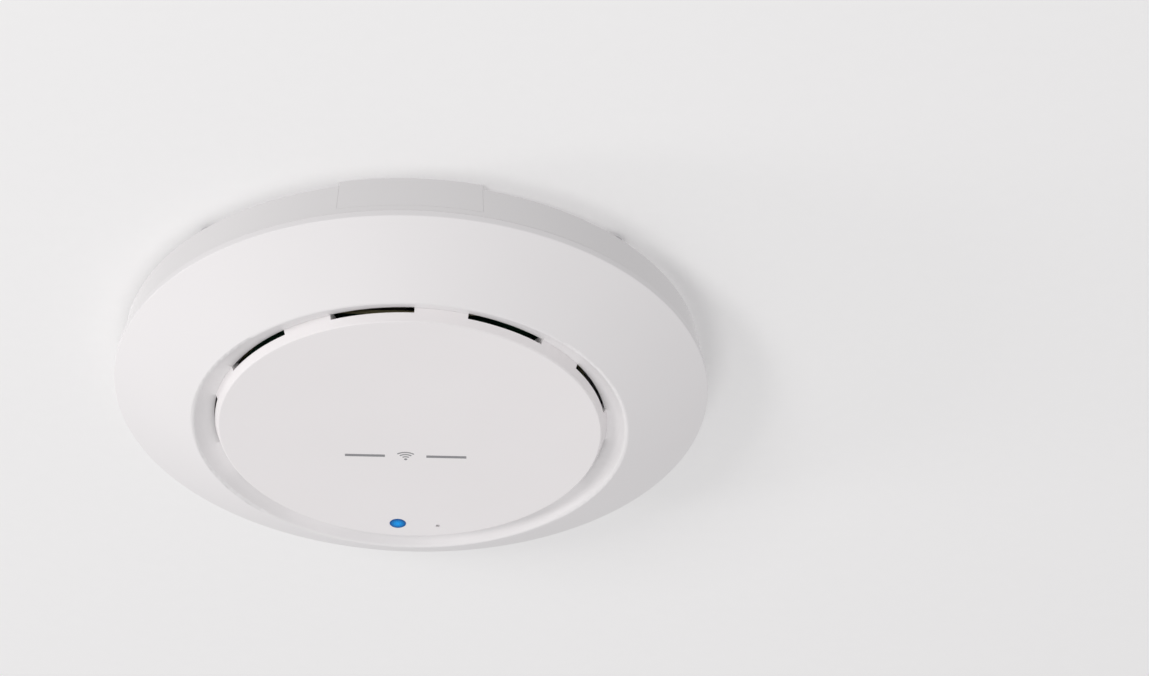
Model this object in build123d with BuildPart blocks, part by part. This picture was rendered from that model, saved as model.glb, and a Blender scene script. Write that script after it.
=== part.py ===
from build123d import *
from math import cos, pi, radians, sin, tan

# Ceiling access point, in millimetres, +Z up.
# The origin is the centre of the bracket's ceiling face and the unit hangs below it.
# -Y is the side that the cables leave by, and +Y the side with the status light.
# Azimuths are degrees from -Y towards +X.

# Driving dimensions of the casing
cover_radius = 100.0
rim_z = -17.35
seam_z = -15.05
back_z = -1.9
wall_top_radius = 97.1
wall_top_fillet = 0.45
wall_foot = (99.5, seam_z + 0.35)
seam_gap = 0.05
tongue_radii = (95.9, 97.4)
tongue_depth = 1.1
shell = 2.0
lip = (72.73, -33.19)
lip_fillet = 1.3
cone_bulge = 0.35
groove_z = -29.5
cove_start_radius = 66.0
cove_end = (71.95, -32.27)
disc_radius = 66.05
disc_face_radius = 64.2
disc_face_z = -33.9
disc_face_fillet = 0.6
disc_wall = 2.0
disc_notch_z = -31.0
peg_circle = 48.0
peg_radius = 1.5
peg_count = 6
vent_count = 9
vent_pitch = 360 / vent_count
vent_first = -10.65
vent_width = 24.5
window_inner_radius = 60.5
window_edge = (65.7, -29.1)
chute_radius = 68.6

# Bayonet between the bracket and the rear case
plate_thickness = 1.5
plate_radius = 64.0
plate_slot = (28, 40, 46)
plate_fillet = 0.6
cable_hole_radius = 18.0
bead_offsets = (1.4, 3.0)
bead_height = 0.8
ceiling_hole_radius = 2.25
ceiling_hole_circle = 45.0
recess_radius = 68.0
recess_z = -7.4
hook_azimuths = [45, 135, 225, 315]
hook_inner = 59.0
hook_reach = 5.5
hook_width = 13.0
foot_thickness = 1.2
foot_top_z = -4.4
hook_thickness = 1.5
hook_slot_inner = 53.0
ledge_inner = 61.2
ledge_thickness = 1.5
ledge_span = 20.0
ledge_lag = 1.5
ledge_gap = 0.3
stop_inner = 65.2
stop_width = 2.4
stop_azimuth = 11.5

# Main board and its mounts
board_radius = 61.5
board_notch = (60, 8)
board_notch_y = -58.5
board_top_z = -22.6
board_thickness = 1.6
board_bottom_z = board_top_z - board_thickness
board_boss_x = 42.0
board_boss_y = 32.0
board_boss_radius = 3.5
board_boss_depth = 8.0
board_hole_radius = 1.7

# Port bay in the rear case
bay_half_width = 22.0
bay_inner_y = -64.6
bay_step_y = -81.5
bay_deep_z = -21.0
bay_shallow_z = -12.6
bay_wall = 1.6
exit_width = 27.75
exit_z = -12.6
exit_gap = 0.03
exit_side_gap = 0.03
exit_inner = 94.2
exit_rib = (1.4, 4.0)
exit_rib_y = -92.2

# Ports
jack_x = -9.0
jack_width = 16.0
jack_depth = 21.4
jack_top_z = -9.6
jack_mouth = (11.9, 7.2)
jack_latch = (6.2, 2.6)
jack_latch_step = (4.0, 1.6)
jack_mouth_depth = 14.0
contact_count = 8
contact_pitch = 1.02
contact_width = 0.4
contact_thickness = 0.35
power_x = 11.5
power_width = 9.0
power_depth = 14.0
power_height = 11.0
power_bore_radius = 3.15
power_bore_depth = 10.0
power_pin_radius = 1.0
power_pin_inset = 0.8

# Light and reset button
light_spot = (-4.5, 56.3)
light_radius = 2.8
light_flange_radius = 3.8
light_rod_radius = 2.0
light_proud = 0.1
reset_spot = (9.3, 57.4)
reset_stem_radius = 1.2
reset_flange_radius = 1.65
reset_switch_side = 4.5
pinhole_radius = 0.75

# Fasteners and feet
foot_circle = 93.0
foot_radius = 3.0
foot_azimuths = [45.5, 134.5, 225.5, 314.5]
case_screw_circle = 86.0
case_screw_azimuths = [60, 120, 240, 300]
case_boss_radius = 3.6
case_screw_head_radius = 2.8
counterbore_radius = 3.1
counterbore_depth = 1.5
foot_height = 1.9
foot_pocket_depth = 0.8
screw_radius = 1.45
screw_clearance = 0.05
antenna_azimuths = {"2g_left": 270, "2g_right": 90, "5g_left": 216, "5g_right": 144}
antenna_circle = 78.0
antenna_post_azimuth = 7.5
antenna_post_radius = 2.4
antenna_base_z = -8.0
antenna_sheet = 0.6
antenna_height = 6.6
antenna_arms = {"2g": 26, "5g": 14}
lead_radius = 0.565

# Worked-out sizes
cover_slope = (lip[1] - rim_z) / (cover_radius - lip[0])
back_inner_z = back_z - 2.2
recess_inner_z = recess_z - 1.8
inner_wall_radius = wall_top_radius - 2.2
groove_inner_z = groove_z + shell
disc_inner_z = disc_face_z + 1.8
case_boss_top_z = back_inner_z - 1.4
foot_bottom_z = foot_top_z - foot_thickness
ledge_bottom_z = foot_top_z + ledge_gap
ledge_top_z = ledge_bottom_z + ledge_thickness
power_z = board_top_z + power_height / 2
vent_azimuths = [vent_first + vent_pitch * step for step in range(vent_count)]
cove_rise = groove_z - cove_end[1]
cove_run = cove_end[0] - cove_start_radius
cove_bend = (cove_rise ** 2 + cove_run ** 2) / (2 * cove_rise)
chute_run = chute_radius - cove_start_radius
chute_z = groove_z - cove_bend + (cove_bend ** 2 - chute_run ** 2) ** 0.5


def spot(radius, azimuth):
    # The point on a circle about Z at an azimuth from -Y towards +X
    turn = radians(azimuth)
    return (radius * sin(turn), -radius * cos(turn))


def spots(radius, azimuths):
    return [spot(radius, azimuth) for azimuth in azimuths]


def antenna_posts(azimuth):
    # The two posts that carry one antenna
    return spots(antenna_circle, [azimuth - antenna_post_azimuth, azimuth + antenna_post_azimuth])


def ring_sector(inner, outer, middle, width):
    # A flat piece of a ring about Z, centred on an azimuth
    start = middle - 90 - width / 2
    with BuildSketch() as sector:
        with BuildLine():
            outside = CenterArc((0, 0), outer, start, width)
            inside = CenterArc((0, 0), inner, start, width)
            Line(outside @ 0, inside @ 0)
            Line(outside @ 1, inside @ 1)
        make_face()
    return sector.sketch


def cover_under_z(radius):
    # Height of the cover's inner cone at a radius
    return rim_z + (cover_radius - radius) * cover_slope + shell * 1.17


def radial_plane(azimuth):
    # The upright plane through Z whose own x points outwards at an azimuth
    across, along = spot(1, azimuth)
    return Plane(origin=(0, 0, 0), x_dir=(across, along, 0), z_dir=(along, -across, 0))


def save(piece, name):
    piece.part.label = name
    export_step(piece.part, f"parts/{name}.step")


# ---------------------------------------------------------------- bracket
with BuildPart() as mounting_bracket:
    with BuildSketch():
        Circle(plate_radius)
        Circle(cable_hole_radius, mode=Mode.SUBTRACT)
        with Locations(*spots(ceiling_hole_circle, [0, 90, 180, 270])):
            Circle(ceiling_hole_radius, mode=Mode.SUBTRACT)
        for azimuth in hook_azimuths:
            add(ring_sector(plate_slot[0], plate_slot[1], azimuth, plate_slot[2]), mode=Mode.SUBTRACT)
            add(ring_sector(hook_slot_inner, hook_inner, azimuth, hook_width), mode=Mode.SUBTRACT)
    extrude(amount=-plate_thickness)
    fillet(mounting_bracket.edges().filter_by(Axis.Z).group_by(SortBy.LENGTH)[-1], plate_fillet)
    for azimuth in hook_azimuths:
        with BuildSketch(Plane.XY.offset(-plate_thickness)):
            add(ring_sector(hook_inner, hook_inner + hook_thickness, azimuth, hook_width))
        extrude(amount=foot_bottom_z + plate_thickness)
        with BuildSketch(Plane.XY.offset(foot_bottom_z)):
            add(ring_sector(hook_inner, hook_inner + hook_reach, azimuth, hook_width))
        extrude(amount=foot_thickness)
    # Rolled stiffening bead round the cable hole
    with BuildSketch(Plane.XY.offset(-plate_thickness)):
        Circle(cable_hole_radius + bead_offsets[1])
        Circle(cable_hole_radius + bead_offsets[0], mode=Mode.SUBTRACT)
    extrude(amount=-bead_height)
save(mounting_bracket, "mounting_bracket")

# ---------------------------------------------------------------- rear case
with BuildPart() as rear_case:
    with BuildSketch(Plane.XZ) as case_profile:
        with BuildLine():
            Polyline(
                (0, recess_z),
                (recess_radius, recess_z),
                (recess_radius, back_z),
                (wall_top_radius, back_z),
                wall_foot,
                (wall_foot[0] - 0.3, seam_z + seam_gap),
                (tongue_radii[1], seam_z + seam_gap),
                (tongue_radii[1], seam_z + seam_gap - tongue_depth),
                (tongue_radii[0], seam_z + seam_gap - tongue_depth),
                (tongue_radii[0], seam_z + 1.0),
                (inner_wall_radius, back_inner_z),
                (recess_radius + shell, back_inner_z),
                (recess_radius + shell, recess_inner_z),
                (0, recess_inner_z),
                close=True,
            )
        make_face()
        fillet(case_profile.vertices().sort_by_distance((wall_top_radius, back_z))[0], wall_top_fillet)
    revolve(axis=Axis.Z)
    # Ledges that the bracket's feet carry
    for azimuth in hook_azimuths:
        with BuildSketch(Plane.XY.offset(ledge_bottom_z)):
            add(ring_sector(ledge_inner, recess_radius + 0.5, azimuth - ledge_lag, ledge_span))
        extrude(amount=ledge_thickness)
        # Stop rib that ends the twist when the case is turned on
        with BuildSketch(Plane.XY.offset(recess_z)):
            add(ring_sector(stop_inner, recess_radius + 0.5, azimuth + stop_azimuth, stop_width))
        extrude(amount=ledge_top_z - recess_z)
    # Port bay: walls first, then the space
    with BuildSketch(Plane.XY.offset(back_z)):
        with Locations((0, (bay_inner_y + bay_step_y) / 2)):
            Rectangle(2 * (bay_half_width + bay_wall), bay_inner_y - bay_step_y + 2 * bay_wall)
    extrude(amount=bay_deep_z - bay_wall - back_z)
    with BuildSketch(Plane.XY.offset(back_z)):
        with Locations((0, -90)):
            Rectangle(2 * (bay_half_width + bay_wall), 20)
        Circle(inner_wall_radius + 0.4, mode=Mode.INTERSECT)
    extrude(amount=bay_shallow_z - bay_wall - back_z)
    with BuildSketch(Plane.XY.offset(back_z)):
        with Locations((0, (bay_inner_y + bay_step_y) / 2)):
            Rectangle(2 * bay_half_width, bay_inner_y - bay_step_y)
    extrude(amount=bay_deep_z - back_z, mode=Mode.SUBTRACT)
    with BuildSketch(Plane.XY.offset(back_z)):
        with Locations((0, -85)):
            Rectangle(2 * bay_half_width, 30)
        Circle(inner_wall_radius + 0.6, mode=Mode.INTERSECT)
        with Locations((0, -40)):
            Rectangle(120, 2 * (40 + bay_inner_y), mode=Mode.SUBTRACT)
    extrude(amount=bay_shallow_z - back_z, mode=Mode.SUBTRACT)
    # The bay's inner wall keeps its height above the recess floor only
    with BuildSketch(Plane.XY.offset(back_z)):
        with Locations((0, bay_inner_y + 2)):
            Rectangle(2 * bay_half_width, 4.2)
        Circle(recess_radius, mode=Mode.INTERSECT)
    extrude(amount=recess_z - back_z, mode=Mode.SUBTRACT)
    # Notch in the side wall for the cable cover
    with BuildSketch(Plane.XY.offset(back_z + 1)):
        add(ring_sector(90, 104, 0, exit_width))
        with Locations((0, -90)):
            Rectangle(2 * bay_half_width, 24, mode=Mode.INTERSECT)
    extrude(amount=exit_z - back_z - 1, mode=Mode.SUBTRACT)
    with BuildSketch(Plane.XY.offset(back_z + 1)):
        add(ring_sector(exit_inner, 104, 0, exit_width))
    extrude(amount=exit_z - back_z - 1, mode=Mode.SUBTRACT)
    # Windows for the network and power jacks
    with BuildSketch(Plane.XY.offset(jack_top_z + 0.2)):
        with Locations((jack_x, bay_inner_y + 1)):
            Rectangle(jack_width + 0.4, 6)
    extrude(amount=board_top_z - 1.6 - jack_top_z, mode=Mode.SUBTRACT)
    with BuildSketch(Plane.XY.offset(board_top_z + power_height + 0.2)):
        with Locations((power_x, bay_inner_y + 1)):
            Rectangle(power_width + 0.4, 6)
    extrude(amount=-power_height - 2.2, mode=Mode.SUBTRACT)
    # Board bosses
    with BuildSketch(Plane.XY.offset(board_top_z)):
        with GridLocations(2 * board_boss_x, 2 * board_boss_y, 2, 2):
            Circle(board_boss_radius)
    extrude(amount=recess_inner_z - board_top_z)
    with BuildSketch(Plane.XY.offset(board_top_z)):
        with GridLocations(2 * board_boss_x, 2 * board_boss_y, 2, 2):
            Circle(screw_radius + screw_clearance)
    extrude(amount=board_boss_depth, mode=Mode.SUBTRACT)
    # Antenna posts
    for azimuth in antenna_azimuths.values():
        with BuildSketch(Plane.XY.offset(back_inner_z)):
            with Locations(*antenna_posts(azimuth)):
                Circle(antenna_post_radius)
        extrude(amount=antenna_base_z - back_inner_z)
        with BuildSketch(Plane.XY.offset(antenna_base_z)):
            with Locations(*antenna_posts(azimuth)):
                Circle(1.05)
        extrude(amount=3.4, mode=Mode.SUBTRACT)
    # Counterbored holes for the case screws
    with BuildSketch(Plane.XY.offset(back_inner_z)):
        with Locations(*spots(case_screw_circle, case_screw_azimuths)):
            Circle(case_boss_radius)
    extrude(amount=-1.2)
    with BuildSketch(Plane.XY.offset(back_z)):
        with Locations(*spots(case_screw_circle, case_screw_azimuths)):
            Circle(counterbore_radius)
    extrude(amount=-counterbore_depth, mode=Mode.SUBTRACT)
    with BuildSketch(Plane.XY.offset(back_z)):
        with Locations(*spots(case_screw_circle, case_screw_azimuths)):
            Circle(1.6)
    extrude(amount=-4, mode=Mode.SUBTRACT)
    # Pockets for the rubber feet
    with BuildSketch(Plane.XY.offset(back_z)):
        with Locations(*spots(foot_circle, foot_azimuths)):
            Circle(foot_radius + 0.1)
    extrude(amount=-foot_pocket_depth, mode=Mode.SUBTRACT)
save(rear_case, "rear_case")

# ---------------------------------------------------------------- front cover
with BuildPart() as front_cover:
    with BuildSketch(Plane.XZ) as cover_profile:
        with BuildLine():
            rim = (cover_radius, rim_z)
            side = Line((99.85, seam_z - seam_gap), rim)
            middle = (
                (rim[0] + lip[0]) / 2 + cone_bulge * 0.5,
                (rim[1] + lip[1]) / 2 - cone_bulge * 0.87,
            )
            cone = ThreePointArc(rim, middle, lip)
            cove = TangentArc((cove_start_radius, groove_z), cove_end, tangent=(1, 0))
            Line(lip, cove @ 1)
            Polyline(
                cove @ 0,
                (0, groove_z),
                (0, groove_inner_z),
                (70.7, groove_inner_z),
                (73.4, cover_under_z(73.4)),
                (97.75, cover_under_z(97.75)),
                (97.75, seam_z - seam_gap),
                side @ 0,
            )
        make_face()
        fillet(cover_profile.vertices().sort_by_distance(lip)[0], lip_fillet)
        fillet(cover_profile.vertices().sort_by_distance(rim)[0], 0.5)
    revolve(axis=Axis.Z)
    # Vent windows, each with a chute that carries the cove down to its outer edge
    for azimuth in vent_azimuths:
        with BuildSketch(Plane.XY.offset(groove_z)):
            add(ring_sector(window_inner_radius, window_edge[0], azimuth, vent_width))
        extrude(amount=shell, mode=Mode.SUBTRACT)
        with BuildSketch(radial_plane(azimuth - vent_width / 2)):
            with BuildLine():
                Polyline(
                    (chute_radius, chute_z),
                    window_edge,
                    (window_edge[0] - 0.5, window_edge[1]),
                    (window_edge[0] - 0.5, chute_z - 0.5),
                    (chute_radius, chute_z - 0.5),
                    close=True,
                )
            make_face()
        revolve(axis=Axis.Z, revolution_arc=vent_width, mode=Mode.SUBTRACT)
    # Holes for the light pipe, the reset pin and the disc's pegs
    with BuildSketch(Plane.XY.offset(groove_z)):
        with Locations(light_spot):
            Circle(2.3)
        with Locations(reset_spot):
            Circle(1.2)
        with PolarLocations(peg_circle, peg_count, start_angle=15):
            Circle(peg_radius + 0.1)
    extrude(amount=shell, mode=Mode.SUBTRACT)
    # Screw bosses up to the rear case
    with BuildSketch(Plane.XY.offset(case_boss_top_z)):
        with Locations(*spots(case_screw_circle, case_screw_azimuths)):
            Circle(case_boss_radius)
    extrude(until=Until.NEXT, dir=(0, 0, -1))
    with BuildSketch(Plane.XY.offset(case_boss_top_z)):
        with Locations(*spots(case_screw_circle, case_screw_azimuths)):
            Circle(screw_radius + screw_clearance)
    extrude(amount=-12, mode=Mode.SUBTRACT)
save(front_cover, "front_cover")

# ---------------------------------------------------------------- centre disc
with BuildPart() as centre_disc:
    with BuildSketch(Plane.XZ) as disc_profile:
        with BuildLine():
            Polyline(
                (0, disc_face_z),
                (disc_face_radius, disc_face_z),
                (disc_radius, groove_z - seam_gap),
                (disc_radius - disc_wall, groove_z - seam_gap),
                (disc_face_radius - 1.9, disc_inner_z),
                (0, disc_inner_z),
                close=True,
            )
        make_face()
        face_edge = disc_profile.vertices().sort_by_distance((disc_face_radius, disc_face_z))[0]
        fillet(face_edge, disc_face_fillet)
    revolve(axis=Axis.Z)
    # The edge stops short over each vent
    for azimuth in vent_azimuths:
        with BuildSketch(Plane.XY.offset(disc_notch_z)):
            add(ring_sector(62, 67, azimuth, vent_width))
        extrude(amount=groove_z - disc_notch_z, mode=Mode.SUBTRACT)
    # Pegs through the cover
    with BuildSketch(Plane.XY.offset(disc_inner_z)):
        with PolarLocations(peg_circle, peg_count, start_angle=15):
            Circle(peg_radius)
    extrude(amount=groove_inner_z + 0.8 - disc_inner_z)
    with BuildSketch(Plane.XY.offset(disc_face_z)):
        with Locations(light_spot):
            Circle(light_radius + 0.05)
        with Locations(reset_spot):
            Circle(pinhole_radius)
    extrude(amount=3, mode=Mode.SUBTRACT)
save(centre_disc, "centre_disc")

# ---------------------------------------------------------------- cable exit cover
with BuildPart() as cable_exit_cover:
    exit_angle = exit_width - 2 * exit_side_gap
    with BuildSketch(Plane.XZ):
        with BuildLine():
            slope = (wall_foot[0] - wall_top_radius) / (back_z - wall_foot[1])
            Polyline(
                (wall_top_radius + back_z * slope, 0),
                (wall_top_radius + slope * (back_z - exit_z - exit_gap), exit_z + exit_gap),
                (95.6, exit_z + exit_gap),
                (94.4, 0),
                close=True,
            )
        make_face()
    revolve(axis=Axis.Z)
    with BuildSketch():
        add(ring_sector(90, 104, 0, exit_angle))
    extrude(amount=exit_z, mode=Mode.INTERSECT)
    # Two guide ribs that slide down inside the bay's walls
    with BuildSketch(Plane.XY.offset(back_z)):
        with Locations((-bay_half_width + 1.6, exit_rib_y), (bay_half_width - 1.6, exit_rib_y)):
            Rectangle(*exit_rib)
    extrude(amount=exit_z + exit_gap + 0.2 - back_z)
save(cable_exit_cover, "cable_exit_cover")

# ---------------------------------------------------------------- rubber feet
with BuildPart() as rubber_feet:
    with BuildSketch(Plane.XY.offset(back_z - foot_pocket_depth + seam_gap)):
        with Locations(*spots(foot_circle, foot_azimuths)):
            Circle(foot_radius)
    extrude(amount=foot_height + foot_pocket_depth - seam_gap)
    fillet(rubber_feet.edges().group_by(Axis.Z)[-1], 0.5)
save(rubber_feet, "rubber_feet")


def pan_screw(top_z, length, head_radius, head_height, shank_radius):
    # A pan-head screw with its head at top_z, the shank below, and a cross recess
    with BuildPart() as screw:
        with BuildSketch(Plane.XY.offset(top_z - head_height)):
            Circle(head_radius)
        extrude(amount=head_height)
        fillet(screw.edges().group_by(Axis.Z)[-1], head_height * 0.4)
        with BuildSketch(Plane.XY.offset(top_z)):
            Rectangle(head_radius * 1.1, head_radius * 0.26)
            Rectangle(head_radius * 0.26, head_radius * 1.1)
        extrude(amount=-head_height * 0.55, mode=Mode.SUBTRACT)
        with BuildSketch(Plane.XY.offset(top_z - head_height)):
            Circle(shank_radius)
        extrude(amount=-length)
        chamfer(screw.edges().group_by(Axis.Z)[0], shank_radius * 0.4)
    return screw.part


case_screw = pan_screw(back_z - 0.35, 12, case_screw_head_radius, 1.15, screw_radius)
with BuildPart() as case_screws:
    with Locations(*spots(case_screw_circle, case_screw_azimuths)):
        add(case_screw)
save(case_screws, "case_screws")

# ---------------------------------------------------------------- main board
with BuildPart() as main_board:
    with BuildSketch(Plane.XY.offset(board_bottom_z)):
        Circle(board_radius)
        with GridLocations(2 * board_boss_x, 2 * board_boss_y, 2, 2):
            Circle(board_hole_radius, mode=Mode.SUBTRACT)
        with Locations((0, board_notch_y)):
            Rectangle(*board_notch, mode=Mode.SUBTRACT)
    extrude(amount=board_thickness)
save(main_board, "main_board")

board_screw = pan_screw(0, 6.5, 2.7, 1.5, screw_radius)
with BuildPart() as board_screws:
    for corner_x in (-board_boss_x, board_boss_x):
        for corner_y in (-board_boss_y, board_boss_y):
            seat = Location((corner_x, corner_y, board_bottom_z - 1.5), (180, 0, 0))
            with Locations(seat):
                add(board_screw)
save(board_screws, "board_screws")

# ---------------------------------------------------------------- network jack
jack_bottom_z = board_top_z
jack_mid_z = (jack_top_z + jack_bottom_z) / 2
with BuildPart() as network_jack:
    with Locations((jack_x, bay_inner_y + jack_depth / 2, jack_mid_z)):
        Box(jack_width, jack_depth, jack_top_z - jack_bottom_z)
    with BuildSketch(Plane.XZ.offset(-bay_inner_y)):
        with Locations((jack_x, jack_mid_z - 0.4)):
            Rectangle(*jack_mouth)
        with Locations((jack_x, jack_mid_z + 3.8)):
            Rectangle(*jack_latch)
        with Locations((jack_x, jack_mid_z + 5.2)):
            Rectangle(*jack_latch_step)
    extrude(amount=-jack_mouth_depth, mode=Mode.SUBTRACT)
save(network_jack, "network_jack")

with BuildPart() as network_jack_contacts:
    for step in range(contact_count):
        contact_x = jack_x + (step - (contact_count - 1) / 2) * contact_pitch
        with BuildSketch(Plane.YZ.offset(contact_x - contact_width / 2)):
            with BuildLine():
                low = jack_mid_z - 3.95
                start_y = bay_inner_y + 3
                Polyline(
                    (start_y, low),
                    (start_y + 10.9, low),
                    (start_y + 10.9, low + contact_thickness),
                    (start_y + 9.6, low + contact_thickness),
                    (start_y + 2.6, low + 2.4),
                    (start_y + 2.2, low + 2.1),
                    (start_y + 8.2, low + contact_thickness),
                    (start_y, low + contact_thickness),
                    close=True,
                )
            make_face()
        extrude(amount=contact_width)
save(network_jack_contacts, "network_jack_contacts")

# ---------------------------------------------------------------- power jack
with BuildPart() as power_jack:
    with Locations((power_x, bay_inner_y + power_depth / 2, power_z)):
        Box(power_width, power_depth, power_height)
    with BuildSketch(Plane.XZ.offset(-bay_inner_y)):
        with Locations((power_x, power_z)):
            Circle(power_bore_radius)
    extrude(amount=-power_bore_depth, mode=Mode.SUBTRACT)
save(power_jack, "power_jack")

with BuildPart() as power_jack_pin:
    with BuildSketch(Plane.XZ.offset(-bay_inner_y - power_pin_inset)):
        with Locations((power_x, power_z)):
            Circle(power_pin_radius)
    extrude(amount=power_pin_inset - power_bore_depth + seam_gap)
    fillet(power_jack_pin.edges().group_by(Axis.Y)[0], 0.5)
save(power_jack_pin, "power_jack_pin")

# ---------------------------------------------------------------- reset switch and button
with BuildPart() as reset_switch:
    with BuildSketch(Plane.XY.offset(board_bottom_z)):
        with Locations(reset_spot):
            Rectangle(reset_switch_side, reset_switch_side)
    extrude(amount=-2)
    with BuildSketch(Plane.XY.offset(board_bottom_z - 0.2)):
        with Locations(reset_spot):
            Circle(reset_flange_radius + 0.1)
    extrude(amount=-0.8, mode=Mode.SUBTRACT)
    with BuildSketch(Plane.XY.offset(board_bottom_z - 0.5)):
        with Locations(reset_spot):
            Circle(reset_stem_radius + screw_clearance)
    extrude(amount=-2, mode=Mode.SUBTRACT)
save(reset_switch, "reset_switch")

with BuildPart() as reset_button:
    with BuildSketch(Plane.XY.offset(board_bottom_z - 0.65)):
        with Locations(reset_spot):
            Circle(reset_stem_radius)
    extrude(amount=-2.45)
    fillet(reset_button.edges().group_by(Axis.Z)[0], 0.2)
    with BuildSketch(Plane.XY.offset(board_bottom_z - 0.95)):
        with Locations(reset_spot):
            Circle(reset_flange_radius)
    extrude(amount=0.4)
save(reset_button, "reset_button")

# ---------------------------------------------------------------- status light
with BuildPart() as light_pipe:
    with BuildSketch(Plane.XY.offset(disc_face_z - light_proud)):
        with Locations(light_spot):
            Circle(light_radius)
    extrude(amount=disc_inner_z - disc_face_z + light_proud + seam_gap)
    fillet(light_pipe.edges().group_by(Axis.Z)[0], light_proud)
    with BuildSketch(Plane.XY.offset(disc_inner_z + seam_gap)):
        with Locations(light_spot):
            Circle(light_flange_radius)
    extrude(amount=1)
    with BuildSketch(Plane.XY.offset(disc_inner_z + seam_gap + 1)):
        with Locations(light_spot):
            Circle(light_rod_radius)
    extrude(amount=board_bottom_z - 1.0 - disc_inner_z - seam_gap - 1)
save(light_pipe, "light_pipe")

with BuildPart() as status_led:
    with Locations((light_spot[0], light_spot[1], board_bottom_z - 0.3)):
        Box(3.2, 2.8, 0.6)
    with BuildSketch(Plane.XY.offset(board_bottom_z - 0.6)):
        with Locations(light_spot):
            Circle(1.1)
    extrude(amount=-0.2)
save(status_led, "status_led")


def chip(places, width, depth, height):
    # Packages that stand on the board's upper side
    with BuildPart() as package:
        with BuildSketch(Plane.XY.offset(board_top_z)):
            with Locations(*places):
                Rectangle(width, depth)
        extrude(amount=height)
        chamfer(package.edges().group_by(Axis.Z)[-1], 0.12)
    return package


def pad(places, width, depth, bottom, top):
    # Soft pads between a package and what cools it
    with BuildPart() as layer:
        with BuildSketch(Plane.XY.offset(bottom)):
            with Locations(*places):
                Rectangle(width, depth)
        extrude(amount=top - bottom)
    return layer


chip_height = 1.4
sink_z = -20.2
save(chip([(0, 0)], 17, 17, chip_height), "processor")
save(chip([(-9, 19), (9, 19)], 9, 12.5, 1.1), "memory_chips")
save(chip([(22, -18)], 8, 6, 1.6), "flash_chip")
save(chip([(0, -24)], 9, 9, 1.0), "ethernet_chip")
save(chip([(14, -13)], 5, 3.2, 1.0), "crystal")
save(pad([(0, 0)], 16, 16, board_top_z + chip_height, sink_z), "processor_pad")

# ---------------------------------------------------------------- heat sink
with BuildPart() as heat_sink:
    with BuildSketch(Plane.XY.offset(sink_z)):
        with Locations((0, 3)):
            RectangleRounded(40, 40, 2)
    extrude(amount=2)
    with BuildSketch(Plane.XY.offset(sink_z + 2)):
        with Locations((0, 3)):
            with GridLocations(4.2, 0, 9, 1):
                Rectangle(1.2, 37)
    extrude(amount=7)
save(heat_sink, "heat_sink")

# ---------------------------------------------------------------- radio sections
radio_places = {"2g": (-36, 4), "5g": (36, 4)}
for band, (radio_x, radio_y) in radio_places.items():
    save(chip([(radio_x, radio_y)], 9, 9, 0.9), f"radio_chip_{band}")
    save(
        pad([(radio_x, radio_y)], 8.5, 8.5, board_top_z + 0.9, board_top_z + 2.3),
        f"radio_pad_{band}",
    )
    with BuildPart() as radio_shield:
        with BuildSketch(Plane.XY.offset(board_top_z)):
            with Locations((radio_x, radio_y)):
                RectangleRounded(26, 32, 1)
        extrude(amount=2.6)
        with BuildSketch(Plane.XY.offset(board_top_z)):
            with Locations((radio_x, radio_y)):
                RectangleRounded(25.4, 31.4, 0.7)
        extrude(amount=2.3, mode=Mode.SUBTRACT)
        with BuildSketch(Plane.XY.offset(board_top_z)):
            with Locations((radio_x, radio_y)):
                with GridLocations(3, 3, 7, 2):
                    Circle(0.8)
        extrude(amount=2.6, mode=Mode.SUBTRACT)
    save(radio_shield, f"radio_shield_{band}")

# ---------------------------------------------------------------- power and line parts
with BuildPart() as line_transformer:
    with BuildSketch(Plane.XY.offset(board_top_z)):
        with Locations((jack_x - 1, -36)):
            Rectangle(17, 11)
    extrude(amount=6)
    chamfer(line_transformer.edges().group_by(Axis.Z)[-1], 0.4)
save(line_transformer, "line_transformer")

with BuildPart() as capacitors:
    with BuildSketch(Plane.XY.offset(board_top_z)):
        with Locations((20, -42), (28, -42), (20, -33), (28, -33)):
            Circle(3.4)
    extrude(amount=9.5)
    chamfer(capacitors.edges().group_by(Axis.Z)[-1], 0.4)
save(capacitors, "capacitors")

with BuildPart() as power_coils:
    with BuildSketch(Plane.XY.offset(board_top_z)):
        with Locations((-27, -40), (-27, -30)):
            RectangleRounded(7.5, 7.5, 1.5)
    extrude(amount=4.5)
    chamfer(power_coils.edges().group_by(Axis.Z)[-1], 0.5)
save(power_coils, "power_coils")

# ---------------------------------------------------------------- antennas and their leads
plug_circle = 55.2
plug_height = 1.35
lead_z = board_top_z + 0.8


def antenna(azimuth, arm):
    # A folded sheet-metal antenna: base on two posts, one upright and a long arm
    base_spot = spot(antenna_circle, azimuth)
    seat = Location((base_spot[0], base_spot[1], antenna_base_z), (0, 0, azimuth))
    sheet_middle = -antenna_sheet / 2
    post_x, post_y = spot(antenna_circle, antenna_post_azimuth)
    post_y += antenna_circle
    with BuildPart() as folded:
        with Locations((0, 0, sheet_middle)):
            Box(28, 11, antenna_sheet)
        with Locations((-arm / 2 - sheet_middle, 0, -antenna_height / 2)):
            Box(antenna_sheet, 8, antenna_height)
        with Locations((0, 0, -antenna_height)):
            Box(arm, 8, antenna_sheet)
        with Locations((2.5, 0, -antenna_height)):
            Box(arm - 9, 2.2, antenna_sheet, mode=Mode.SUBTRACT)
        with Locations((-post_x, post_y, sheet_middle), (post_x, post_y, sheet_middle)):
            Cylinder(1.15, antenna_sheet, mode=Mode.SUBTRACT)
    return folded.part.moved(seat)


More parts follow.
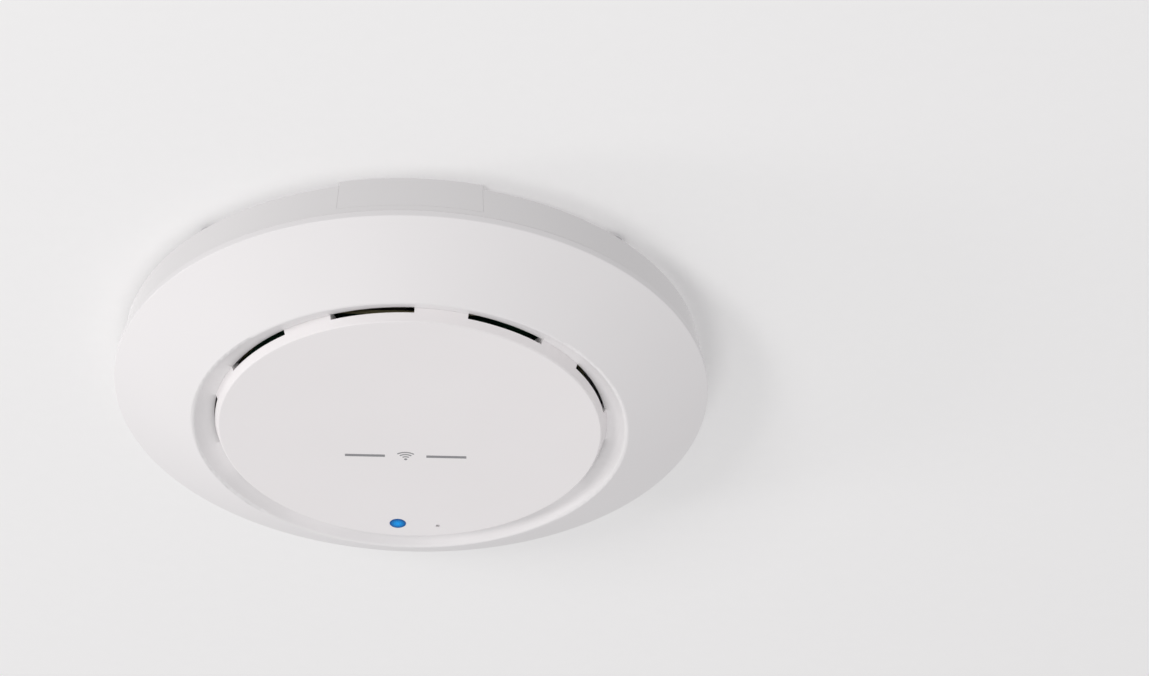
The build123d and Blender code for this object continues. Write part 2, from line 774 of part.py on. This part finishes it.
def antenna_lead(azimuth):
    # Coax from the antenna's base over the board's edge to its plug
    turn = Location((0, 0, 0), (0, 0, azimuth))
    route = [
        (0, -77.0, antenna_base_z - 1.25),
        (0, -72.6, antenna_base_z - 1.25),
        (0, -71.6, -14.5),
        (0, -69.6, -19.4),
        (0, -65.2, lead_z),
        (0, -plug_circle - 1.45, lead_z),
    ]
    runs = [(Vector(b) - Vector(a)) for a, b in zip(route, route[1:])]
    bends = []
    for before, after in zip(runs, runs[1:]):
        half_turn = radians(before.get_angle(after)) / 2
        bends.append(round(0.45 * min(before.length, after.length) / tan(half_turn), 2))
    with BuildPart() as lead:
        with BuildLine() as path:
            FilletPolyline(*route, radius=bends)
        with BuildSketch(Plane(origin=path.line @ 0, z_dir=path.line % 0)):
            Circle(lead_radius)
        sweep()
    expected = pi * lead_radius ** 2 * path.wires()[0].length
    print("lead bends", bends, "volume", round(lead.part.volume, 2), "expected", round(expected, 2))
    return lead.part.moved(turn)


for name, azimuth in antenna_azimuths.items():
    with BuildPart() as antenna_piece:
        add(antenna(azimuth, antenna_arms[name[:2]]))
    save(antenna_piece, f"antenna_{name}")
    with BuildPart() as lead_piece:
        add(antenna_lead(azimuth))
    save(lead_piece, f"antenna_lead_{name}")

with BuildPart() as antenna_plugs:
    with BuildSketch(Plane.XY.offset(board_top_z)):
        with Locations(*spots(plug_circle, antenna_azimuths.values())):
            Circle(1.4)
    extrude(amount=plug_height)
save(antenna_plugs, "antenna_plugs")

antenna_screw = pan_screw(0, 3.2, 1.9, 1.0, 1.0)
with BuildPart() as antenna_screws:
    for azimuth in antenna_azimuths.values():
        for post_x, post_y in antenna_posts(azimuth):
            with Locations(Location((post_x, post_y, antenna_base_z - 1.6), (180, 0, 0))):
                add(antenna_screw)
save(antenna_screws, "antenna_screws")
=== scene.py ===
import math

import bmesh
import bpy
from mathutils import Matrix, Vector


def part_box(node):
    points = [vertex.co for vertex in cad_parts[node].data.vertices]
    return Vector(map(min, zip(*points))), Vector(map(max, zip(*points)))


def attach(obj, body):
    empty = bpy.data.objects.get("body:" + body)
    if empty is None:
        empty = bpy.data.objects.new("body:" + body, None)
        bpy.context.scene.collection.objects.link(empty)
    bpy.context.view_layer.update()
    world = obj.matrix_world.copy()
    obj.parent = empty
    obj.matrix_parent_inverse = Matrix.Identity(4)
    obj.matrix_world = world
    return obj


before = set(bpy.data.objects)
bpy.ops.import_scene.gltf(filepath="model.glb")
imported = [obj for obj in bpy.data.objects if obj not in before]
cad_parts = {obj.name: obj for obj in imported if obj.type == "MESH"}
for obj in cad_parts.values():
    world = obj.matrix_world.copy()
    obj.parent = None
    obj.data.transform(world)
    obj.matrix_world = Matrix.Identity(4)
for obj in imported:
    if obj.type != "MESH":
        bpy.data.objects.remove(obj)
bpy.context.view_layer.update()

scene = bpy.context.scene
scene.view_settings.view_transform = "Standard"
mm = 0.001
mmPerMetre = 1000
mixSockets = {"first": 6, "second": 7, "result": 2}
print("frame loaded with", len(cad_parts), "nodes")


class Value:
    # one shader socket, so that shader maths reads like arithmetic
    def __init__(self, finish, socket):
        self.finish = finish
        self.socket = socket

    def maths(self, operation, first, second=None):
        links = {0: first} if second is None else {0: first, 1: second}
        return self.finish.node("ShaderNodeMath", {"operation": operation}, links)

    def __add__(self, other):
        return self.maths("ADD", self, other)

    def __radd__(self, other):
        return self.maths("ADD", other, self)

    def __sub__(self, other):
        return self.maths("SUBTRACT", self, other)

    def __rsub__(self, other):
        return self.maths("SUBTRACT", other, self)

    def __mul__(self, other):
        return self.maths("MULTIPLY", self, other)

    def __rmul__(self, other):
        return self.maths("MULTIPLY", other, self)

    def __truediv__(self, other):
        return self.maths("DIVIDE", self, other)

    def __pow__(self, other):
        return self.maths("POWER", self, other)

    def __mod__(self, other):
        return self.maths("FLOORED_MODULO", self, other)

    def __gt__(self, other):
        return self.maths("GREATER_THAN", self, other)

    def __lt__(self, other):
        return self.maths("LESS_THAN", self, other)

    def __abs__(self):
        return self.maths("ABSOLUTE", self)


class Finish:
    # one material and the nodes in it; sizes inside it are metres in the part's own frame
    def __init__(self, name):
        self.material = bpy.data.materials.new(name)
        self.material.use_nodes = True
        self.tree = self.material.node_tree
        self.tree.nodes.clear()
        self.place = self.node("ShaderNodeTexCoord", output="Object")

    def node(self, kind, settings=None, links=None, output=0):
        made = self.tree.nodes.new(kind)
        for key, value in (settings or {}).items():
            if key == "stops":
                self.setStops(made.color_ramp, value)
            else:
                setattr(made, key, value)
        for key, value in (links or {}).items():
            if isinstance(value, Value):
                self.tree.links.new(value.socket, made.inputs[key])
            else:
                made.inputs[key].default_value = value
        return Value(self, made.outputs[output]) if made.outputs else None

    def setStops(self, ramp, stops):
        while len(ramp.elements) < len(stops):
            ramp.elements.new(0.5)
        for element, (position, tone) in zip(ramp.elements, stops):
            element.position = position
            element.color = tone

    def along(self, axis, vector=None):
        links = {0: vector or self.place}
        return self.node("ShaderNodeSeparateXYZ", links=links, output=axis)

    def facing(self, axis):
        normal = self.node("ShaderNodeNewGeometry", output="Normal")
        return self.along(axis, normal)

    def stretched(self, x, y, z):
        return self.node("ShaderNodeMapping", links={"Vector": self.place, "Scale": (x, y, z)})

    def noise(self, scale, detail, roughness=0.5, vector=None):
        links = {"Vector": vector or self.place, "Scale": scale}
        links.update({"Detail": detail, "Roughness": roughness})
        return self.node("ShaderNodeTexNoise", links=links)

    def cells(self, scale, output="Distance"):
        links = {"Vector": self.place, "Scale": scale}
        return self.node("ShaderNodeTexVoronoi", {"feature": "F1"}, links, output)

    def ramp(self, factor, *stops):
        greys = [(position, (level, level, level, 1)) for position, level in stops]
        return self.node("ShaderNodeValToRGB", {"stops": greys}, {"Fac": factor})

    def mix(self, factor, first, second):
        links = {"Factor": factor, mixSockets["first"]: first, mixSockets["second"]: second}
        return self.node("ShaderNodeMix", {"data_type": "RGBA"}, links, mixSockets["result"])

    def bump(self, height, distance, strength):
        links = {"Height": height, "Distance": distance, "Strength": strength}
        return self.node("ShaderNodeBump", links=links)

    def shade(self, **sockets):
        links = {name.replace("_", " "): value for name, value in sockets.items()}
        shader = self.node("ShaderNodeBsdfPrincipled", links=links)
        self.node("ShaderNodeOutputMaterial", links={"Surface": shader})
        return self.material


def tone(red, green, blue):
    return (red, green, blue, 1.0)


def shaded(colour, share):
    return tone(*[part * share for part in colour[:3]])


# in every look: scales are per metre, depths are in metres, darker and paler are shares of the
# tone, baseRough is the roughness and rougher is what the texture adds to it
whiteLook = {
    "cloudScale": 28.0,
    "grainScale": 2400.0,
    "darker": 0.97,
    "rougher": 0.10,
    "bump": 0.45,
}


# moulded white plastic: fine spark-eroded grain over a very slight unevenness of tone
def whitePlastic(name, colour, grainDepth, baseRough):
    finish = Finish(name)
    cloud = finish.noise(whiteLook["cloudScale"], 3.0)
    grain = finish.noise(whiteLook["grainScale"], 2.0, 0.6)
    return finish.shade(
        Base_Color=finish.mix(cloud, colour, shaded(colour, whiteLook["darker"])),
        Roughness=baseRough + whiteLook["rougher"] * grain,
        Normal=finish.bump(grain, grainDepth, whiteLook["bump"]),
    )


metalLook = {
    "spangleScale": 420.0,
    "spangleShare": 0.12,
    "spangleTone": tone(0.95, 0.96, 1.0),
    "cloudScale": 60.0,
    "darker": 0.8,
    "cloudRougher": 0.16,
    "lineRougher": 0.10,
    "lineDepth": 0.00003,
    "bump": 0.4,
}


# pressed metal: rolling lines one way, cloudy plating and small bright spangles
def platedMetal(name, colour, baseRough, lines=(40, 900, 900)):
    finish = Finish(name)
    rolled = finish.noise(1.0, 4.0, 0.6, finish.stretched(*lines))
    spangle = finish.cells(metalLook["spangleScale"], output="Color")
    cloud = finish.noise(metalLook["cloudScale"], 3.0)
    grey = finish.mix(cloud, colour, shaded(colour, metalLook["darker"]))
    bright = metalLook["spangleShare"] * finish.along(0, spangle)
    rough = baseRough + metalLook["cloudRougher"] * cloud + metalLook["lineRougher"] * rolled
    return finish.shade(
        Base_Color=finish.mix(bright, grey, metalLook["spangleTone"]),
        Metallic=1.0,
        Roughness=rough,
        Normal=finish.bump(rolled, metalLook["lineDepth"], metalLook["bump"]),
    )


darkLook = {"cloudScale": 220.0, "paler": 1.5, "rougher": 0.15, "depth": 0.00003, "bump": 0.4}


# moulded dark plastic or epoxy: satin grain, with cloudy paler patches
def darkPlastic(name, colour, baseRough, grainScale=3000.0):
    finish = Finish(name)
    cloud = finish.noise(darkLook["cloudScale"], 3.0)
    grain = finish.noise(grainScale, 2.0, 0.6)
    return finish.shade(
        Base_Color=finish.mix(cloud, colour, shaded(colour, darkLook["paler"])),
        Roughness=baseRough + darkLook["rougher"] * grain,
        Normal=finish.bump(grain, darkLook["depth"], darkLook["bump"]),
    )


rubberLook = {
    "speckScale": 900.0,
    "filmScale": 1500.0,
    "darker": 0.82,
    "baseRough": 0.72,
    "rougher": 0.15,
    "filmDepth": 0.00004,
    "bump": 0.5,
}


# soft silicone, with the faint print of its backing film
def softRubber(name, colour):
    finish = Finish(name)
    speck = finish.noise(rubberLook["speckScale"], 3.0, 0.6)
    film = finish.cells(rubberLook["filmScale"])
    return finish.shade(
        Base_Color=finish.mix(speck, colour, shaded(colour, rubberLook["darker"])),
        Roughness=rubberLook["baseRough"] + rubberLook["rougher"] * speck,
        Normal=finish.bump(film, rubberLook["filmDepth"], rubberLook["bump"]),
    )


# the board's tracks and pads, in mm; the shares set how much of the pattern is left out
boardPattern = {
    "trackPitch": 1.4,
    "trackHalfWidth": 0.2,
    "trackShare": 0.35,
    "padPitch": (5.2, 3.9),
    "padHalfSize": (0.45, 0.3),
    "padShare": 0.56,
    "regionScale": 90.0,
    "padRegionScale": 70.0,
    "maskTones": (tone(0.010, 0.045, 0.026), tone(0.018, 0.085, 0.045)),
    "padTone": tone(0.72, 0.62, 0.38),
    "laminateTones": (tone(0.34, 0.30, 0.15), tone(0.50, 0.45, 0.26)),
    "weave": (900, 900, 4500),
    "baseRough": 0.28,
    "edgeRougher": 0.35,
    "weaveRougher": 0.08,
    "padMetallic": 0.9,
    "padHeight": 1.5,
    "trackDepth": 0.00004,
    "bump": 0.6,
}


# circuit board: green mask over copper tracks, plated pads, and bare laminate on the cut edges
def circuitBoard():
    finish = Finish("solderMaskGreen")
    across, up = finish.along(0) * mmPerMetre, finish.along(1) * mmPerMetre
    routed = finish.cells(boardPattern["regionScale"], output="Color")
    turned = finish.along(0, routed) > 0.5
    lane = turned * across + (1 - turned) * up
    pitch = boardPattern["trackPitch"]
    onTrack = abs(lane % pitch - pitch / 2) < boardPattern["trackHalfWidth"]
    track = onTrack * (finish.along(1, routed) > boardPattern["trackShare"])
    pitchX, pitchY = boardPattern["padPitch"]
    halfX, halfY = boardPattern["padHalfSize"]
    padRow = (abs(across % pitchX - pitchX / 2) < halfX) * (abs(up % pitchY - pitchY / 2) < halfY)
    padRegion = finish.noise(boardPattern["padRegionScale"], 0.0)
    pads = padRow * (padRegion > boardPattern["padShare"])
    mask = finish.mix(track, *boardPattern["maskTones"])
    top = finish.mix(pads, mask, boardPattern["padTone"])
    edge = abs(finish.facing(2)) < 0.5
    weave = finish.noise(1.0, 2.0, 0.5, finish.stretched(*boardPattern["weave"]))
    laminate = finish.mix(weave, *boardPattern["laminateTones"])
    rough = boardPattern["baseRough"] + boardPattern["edgeRougher"] * edge
    height = track + boardPattern["padHeight"] * pads
    return finish.shade(
        Base_Color=finish.mix(edge, top, laminate),
        Metallic=pads * (1 - edge) * boardPattern["padMetallic"],
        Roughness=rough + boardPattern["weaveRougher"] * weave,
        Normal=finish.bump(height, boardPattern["trackDepth"], boardPattern["bump"]),
    )


# topFacing and stripeFacing are limits on how far a face turns that way
canLook = {
    "topFacing": 0.75,
    "stripeFacing": -0.9,
    "scoreScale": 600.0,
    "sleeveTone": tone(0.015, 0.018, 0.028),
    "stripeTone": tone(0.62, 0.63, 0.66),
    "topTone": tone(0.80, 0.81, 0.83),
    "topMetallic": 0.95,
    "baseRough": 0.30,
    "rougher": 0.12,
    "scoreDepth": 0.00003,
    "bump": 0.3,
}


# electrolytic can: dark sleeve with a pale stripe, and bare aluminium on top
def sleevedCan():
    finish = Finish("sleevedCan")
    top = finish.facing(2) > canLook["topFacing"]
    stripe = finish.facing(0) < canLook["stripeFacing"]
    score = finish.noise(canLook["scoreScale"], 2.0)
    sleeve = finish.mix(stripe, canLook["sleeveTone"], canLook["stripeTone"])
    return finish.shade(
        Base_Color=finish.mix(top, sleeve, canLook["topTone"]),
        Metallic=top * canLook["topMetallic"],
        Roughness=canLook["baseRough"] + canLook["rougher"] * score,
        Normal=finish.bump(score, canLook["scoreDepth"], canLook["bump"]),
    )


lensLook = {
    "radius": 2.8,
    "frostScale": 1800.0,
    "frostShare": 0.06,
    "spread": [(0.0, 0.0), (0.45, 0.35), (0.82, 0.8), (1.0, 1.0)],
    "glowTones": (tone(0.0, 0.33, 0.88), tone(0.0, 0.06, 0.22)),
    "lensTones": (tone(0.0, 0.04, 0.12), tone(0.0, 0.02, 0.07)),
    "baseRough": 0.22,
    "rougher": 0.1,
    "glowStrength": 0.85,
    "bending": 1.25,
}


# the light's tinted lens glows brightest in the middle and darkens to its rim
def glowingLens():
    low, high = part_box("light_pipe")
    centre = (low + high) / 2
    finish = Finish("glowingLens")
    offX, offY = finish.along(0) - centre.x, finish.along(1) - centre.y
    reach = (offX * offX + offY * offY) ** 0.5 / (lensLook["radius"] * mm)
    frost = finish.noise(lensLook["frostScale"], 2.0)
    spot = finish.ramp(reach + lensLook["frostShare"] * frost, *lensLook["spread"])
    return finish.shade(
        Base_Color=finish.mix(spot, *lensLook["lensTones"]),
        Roughness=lensLook["baseRough"] + lensLook["rougher"] * frost,
        IOR=lensLook["bending"],
        Emission_Color=finish.mix(spot, *lensLook["glowTones"]),
        Emission_Strength=lensLook["glowStrength"],
    )


lampLook = {
    "windowRadius": 1.1,
    "grainScale": 4000.0,
    "bodyTone": tone(0.80, 0.79, 0.74),
    "windowTone": tone(0.85, 0.62, 0.10),
    "baseRough": 0.35,
    "rougher": 0.1,
    "grainDepth": 0.00002,
    "bump": 0.3,
}


# the lamp on the board: white cup round a yellow phosphor window
def lampBody():
    low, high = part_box("status_led")
    centre = (low + high) / 2
    finish = Finish("lampBody")
    offX, offY = finish.along(0) - centre.x, finish.along(1) - centre.y
    window = (offX * offX + offY * offY) ** 0.5 < lampLook["windowRadius"] * mm
    grain = finish.noise(lampLook["grainScale"], 2.0)
    return finish.shade(
        Base_Color=finish.mix(window, lampLook["bodyTone"], lampLook["windowTone"]),
        Roughness=lampLook["baseRough"] + lampLook["rougher"] * grain,
        Normal=finish.bump(grain, lampLook["grainDepth"], lampLook["bump"]),
    )


alloyLook = {
    "lines": (5200, 30, 5200),
    "etchScale": 1500.0,
    "tones": (tone(0.70, 0.71, 0.73), tone(0.84, 0.85, 0.87)),
    "baseRough": 0.30,
    "lineRougher": 0.14,
    "etchRougher": 0.06,
    "lineDepth": 0.00004,
    "bump": 0.5,
}


# extruded aluminium: lengthways die lines under a satin etch
def extrudedAlloy():
    finish = Finish("extrudedAlloy")
    lines = finish.noise(1.0, 4.0, 0.7, finish.stretched(*alloyLook["lines"]))
    etch = finish.noise(alloyLook["etchScale"], 2.0)
    rough = alloyLook["baseRough"] + alloyLook["lineRougher"] * lines
    return finish.shade(
        Base_Color=finish.mix(lines, *alloyLook["tones"]),
        Metallic=1.0,
        Roughness=rough + alloyLook["etchRougher"] * etch,
        Normal=finish.bump(lines, alloyLook["lineDepth"], alloyLook["bump"]),
    )


coverWhite = whitePlastic("coverWhite", tone(0.845, 0.828, 0.834), 0.00002, 0.46)
discWhite = whitePlastic("discWhite", tone(0.880, 0.855, 0.860), 0.000015, 0.42)
caseWhite = whitePlastic("caseWhite", tone(0.815, 0.80, 0.803), 0.00002, 0.46)
footRubber = softRubber("footRubber", tone(0.62, 0.61, 0.62))
bracketZinc = platedMetal("bracketZinc", tone(0.47, 0.48, 0.50), 0.30)
screwSteel = platedMetal("screwSteel", tone(0.58, 0.59, 0.62), 0.24, (900, 900, 5200))
shieldTin = platedMetal("shieldTin", tone(0.74, 0.74, 0.73), 0.26)
antennaTin = platedMetal("antennaTin", tone(0.70, 0.68, 0.60), 0.30)
lidNickel = platedMetal("lidNickel", tone(0.62, 0.61, 0.59), 0.34, (900, 40, 900))
contactGold = platedMetal("contactGold", tone(0.83, 0.60, 0.22), 0.22, (900, 900, 900))
packageBlack = darkPlastic("packageBlack", tone(0.018, 0.018, 0.020), 0.50)
portBlack = darkPlastic("portBlack", tone(0.012, 0.012, 0.014), 0.32)
coilGrey = darkPlastic("coilGrey", tone(0.075, 0.075, 0.080), 0.62, 1800.0)
jacketGrey = darkPlastic("jacketGrey", tone(0.035, 0.035, 0.038), 0.40)
buttonCream = whitePlastic("buttonCream", tone(0.72, 0.70, 0.62), 0.00001, 0.34)
padBlue = softRubber("padBlue", tone(0.26, 0.33, 0.44))
boardGreen = circuitBoard()
canSleeve = sleevedCan()
lensBlue = glowingLens()
lampWhite = lampBody()
sinkAlloy = extrudedAlloy()

nodeFinishes = {
    "front_cover": coverWhite,
    "centre_disc": discWhite,
    "rear_case": caseWhite,
    "cable_exit_cover": caseWhite,
    "rubber_feet": footRubber,
    "mounting_bracket": bracketZinc,
    "case_screws": screwSteel,
    "board_screws": screwSteel,
    "antenna_screws": screwSteel,
    "main_board": boardGreen,
    "processor": lidNickel,
    "processor_pad": padBlue,
    "radio_pad": padBlue,
    "radio_chip": packageBlack,
    "radio_shield": shieldTin,
    "memory_chips": packageBlack,
    "flash_chip": packageBlack,
    "ethernet_chip": packageBlack,
    "line_transformer": packageBlack,
    "crystal": shieldTin,
    "capacitors": canSleeve,
    "power_coils": coilGrey,
    "heat_sink": sinkAlloy,
    "network_jack_contacts": contactGold,
    "network_jack": portBlack,
    "power_jack_pin": shieldTin,
    "power_jack": portBlack,
    "reset_switch": portBlack,
    "reset_button": buttonCream,
    "light_pipe": lensBlue,
    "status_led": lampWhite,
    "antenna_plugs": contactGold,
    "antenna_lead": jacketGrey,
    "antenna_2g": antennaTin,
    "antenna_5g": antennaTin,
}
for name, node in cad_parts.items():
    fits = [start for start in nodeFinishes if name.startswith(start)]
    node.data.materials.clear()
    node.data.materials.append(nodeFinishes[max(fits, key=len)])
print("finishes done")


def newPiece(name, mesh, finish, body):
    piece = bpy.data.objects.new(name, mesh)
    scene.collection.objects.link(piece)
    mesh.materials.append(finish)
    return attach(piece, body)


# a small printed sign on the disc, in mm and degrees: a dot under three arcs, between two bars
printedSign = {
    "centre": (-1.5, 14.5),
    "arcs": [(1.25, 1.85), (2.55, 3.15), (3.85, 4.45)],
    "arcSpan": 84,
    "arcMiddle": -90,
    "dotRadius": 0.55,
    "dotShift": 1.9,
    "barStart": 7.0,
    "barEnd": 20.5,
    "barWidth": 1.4,
    "halfThickness": 0.02,
    "steps": 24,
}


def ringPiece(mesh, centre, inner, outer, start, end, steps, low, high):
    # a flat bent bar from one angle to the other, with both ends capped
    rings = []
    for step in range(steps + 1):
        turn = math.radians(start + (end - start) * step / steps)
        side = Vector((math.cos(turn), math.sin(turn), 0))
        corners = [(inner, low), (outer, low), (outer, high), (inner, high)]
        points = [centre + side * reach * mm + Vector((0, 0, z)) for reach, z in corners]
        rings.append([mesh.verts.new(point) for point in points])
    for before, after in zip(rings, rings[1:]):
        for corner in range(4):
            follow = (corner + 1) % 4
            mesh.faces.new([before[corner], before[follow], after[follow], after[corner]])
    mesh.faces.new(rings[0][::-1])
    mesh.faces.new(rings[-1])


def signMesh(values):
    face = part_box("centre_disc")[0].z
    low, high = face - values["halfThickness"] * mm, face + values["halfThickness"] * mm
    centre = Vector((values["centre"][0] * mm, values["centre"][1] * mm, 0))
    mesh = bmesh.new()
    foot = centre + Vector((0, values["dotShift"] * mm, 0))
    first = values["arcMiddle"] - values["arcSpan"] / 2
    last = values["arcMiddle"] + values["arcSpan"] / 2
    for inner, outer in values["arcs"]:
        ringPiece(mesh, foot, inner, outer, first, last, values["steps"], low, high)
    bmesh.ops.create_cone(
        mesh,
        cap_ends=True,
        segments=values["steps"],
        radius1=values["dotRadius"] * mm,
        radius2=values["dotRadius"] * mm,
        depth=high - low,
        matrix=Matrix.Translation(foot + Vector((0, 0, face))),
    )
    start, end, width = values["barStart"], values["barEnd"], values["barWidth"]
    for side in (-1, 1):
        shift = Vector((side * (start + end) / 2 * mm, 0, face))
        size = Matrix.Diagonal(((end - start) * mm, width * mm, high - low, 1))
        bmesh.ops.create_cube(mesh, size=1, matrix=Matrix.Translation(centre + shift) @ size)
    bmesh.ops.recalc_face_normals(mesh, faces=mesh.faces)
    made = bpy.data.meshes.new("printed_sign")
    mesh.to_mesh(made)
    mesh.free()
    return made


inkLook = {
    "speckScale": 5000.0,
    "tones": (tone(0.235, 0.235, 0.245), tone(0.30, 0.30, 0.31)),
    "baseRough": 0.45,
    "rougher": 0.15,
    "speckDepth": 0.00001,
    "bump": 0.4,
}


# printed grey ink, slightly speckled
def printInk():
    finish = Finish("printInk")
    speck = finish.noise(inkLook["speckScale"], 2.0)
    return finish.shade(
        Base_Color=finish.mix(speck, *inkLook["tones"]),
        Roughness=inkLook["baseRough"] + inkLook["rougher"] * speck,
        Normal=finish.bump(speck, inkLook["speckDepth"], inkLook["bump"]),
    )


newPiece("printed_sign", signMesh(printedSign), printInk(), "housing")
print("printed sign done")

# the ceiling that the unit hangs from, seen only from below; it throws no light back
ceiling = {
    "size": 8.0,
    "lift": 0.0003,
    "tone": tone(0.94, 0.938, 0.938),
    "speckleScale": 180.0,
    "darker": 0.985,
}
bpy.ops.mesh.primitive_plane_add(size=ceiling["size"], location=(0, 0, ceiling["lift"]))
ceilingPlane = bpy.context.object
ceilingPlane.name = "ceiling"
ceilingPlane.rotation_euler = (math.pi, 0, 0)
ceilingFinish = Finish("ceilingPaint")
behind = ceilingFinish.node("ShaderNodeNewGeometry", output="Backfacing")
seen = ceilingFinish.node("ShaderNodeLightPath", output="Is Camera Ray")
speckle = ceilingFinish.noise(ceiling["speckleScale"], 3.0)
speckTone = shaded(ceiling["tone"], ceiling["darker"])
paintTone = ceilingFinish.mix(speckle, ceiling["tone"], speckTone)
paint = ceilingFinish.node("ShaderNodeBsdfDiffuse", links={"Color": paintTone})
clear = ceilingFinish.node("ShaderNodeBsdfTransparent")
shown = seen * (1 - behind)
both = ceilingFinish.node("ShaderNodeMixShader", links={0: shown, 1: clear, 2: paint})
ceilingFinish.node("ShaderNodeOutputMaterial", links={"Surface": both})
ceilingPlane.data.materials.append(ceilingFinish.material)

# studio light: a soft key from the near left, one close to the ceiling on the left,
# one from nearly straight below, and one above the ceiling for the back
warm = (1.0, 0.985, 0.975)
paleWarm = (1.0, 0.99, 0.98)
neutral = (1.0, 1.0, 1.0)
lights = {
    "keyLight": {"place": (-1.40, -1.67, -1.01), "size": 0.6, "power": 12.9, "tone": warm},
    "sideLight": {"place": (-2.34, 0.30, -0.45), "size": 0.5, "power": 10.5, "tone": warm},
    "lowLight": {"place": (-0.39, -0.14, -2.36), "size": 1.3, "power": 8.3, "tone": paleWarm},
    "backLight": {"place": (-0.2, 1.3, 1.8), "size": 1.8, "power": 14.0, "tone": neutral},
}
for name, values in lights.items():
    lamp = bpy.data.lights.new(name, "AREA")
    lamp.size = values["size"]
    lamp.energy = values["power"]
    lamp.color = values["tone"]
    holder = bpy.data.objects.new(name, lamp)
    scene.collection.objects.link(holder)
    holder.location = values["place"]
    holder.rotation_euler = (-Vector(values["place"])).to_track_quat("-Z", "Y").to_euler()

# even fill from all round, and a paler backdrop where the camera sees past the ceiling
surround = {"fill": (0.62, 0.615, 0.62), "strength": 1.0, "backdrop": (0.86, 0.86, 0.865)}
world = bpy.data.worlds.new("studio")
world.use_nodes = True
worldNodes = world.node_tree.nodes
worldLinks = world.node_tree.links
fill = worldNodes["Background"]
fill.inputs["Color"].default_value = (*surround["fill"], 1)
fill.inputs["Strength"].default_value = surround["strength"]
backdrop = worldNodes.new("ShaderNodeBackground")
backdrop.inputs["Color"].default_value = (*surround["backdrop"], 1)
lightPath = worldNodes.new("ShaderNodeLightPath")
blend = worldNodes.new("ShaderNodeMixShader")
worldLinks.new(lightPath.outputs["Is Camera Ray"], blend.inputs[0])
worldLinks.new(fill.outputs[0], blend.inputs[1])
worldLinks.new(backdrop.outputs[0], blend.inputs[2])
worldLinks.new(blend.outputs[0], worldNodes["World Output"].inputs[0])
scene.world = world
print("stage and light done")

# the camera looks up at the unit from below through a long lens
cameraSetup = {
    "place": (0.0547465, -1.4178612, -0.9712722),
    "rimDrop": -0.01735,
    "pitch": 0.611586,
    "roll": 0.0149602,
    "turn": -0.65,
    "lens": 159.70,
    "sensor": 36.0,
}
cameraData = bpy.data.cameras.new("camera")
cameraData.lens = cameraSetup["lens"]
cameraData.sensor_width = cameraSetup["sensor"]
camera = bpy.data.objects.new("camera", cameraData)
scene.collection.objects.link(camera)
camera.matrix_world = (
    Matrix.Rotation(math.radians(cameraSetup["turn"]), 4, "Z")
    @ Matrix.Translation(Vector(cameraSetup["place"]) + Vector((0, 0, cameraSetup["rimDrop"])))
    @ Matrix.Rotation(math.pi / 2 + cameraSetup["pitch"], 4, "X")
    @ Matrix.Rotation(cameraSetup["roll"], 4, "Z")
)
scene.camera = camera

print("scene done")
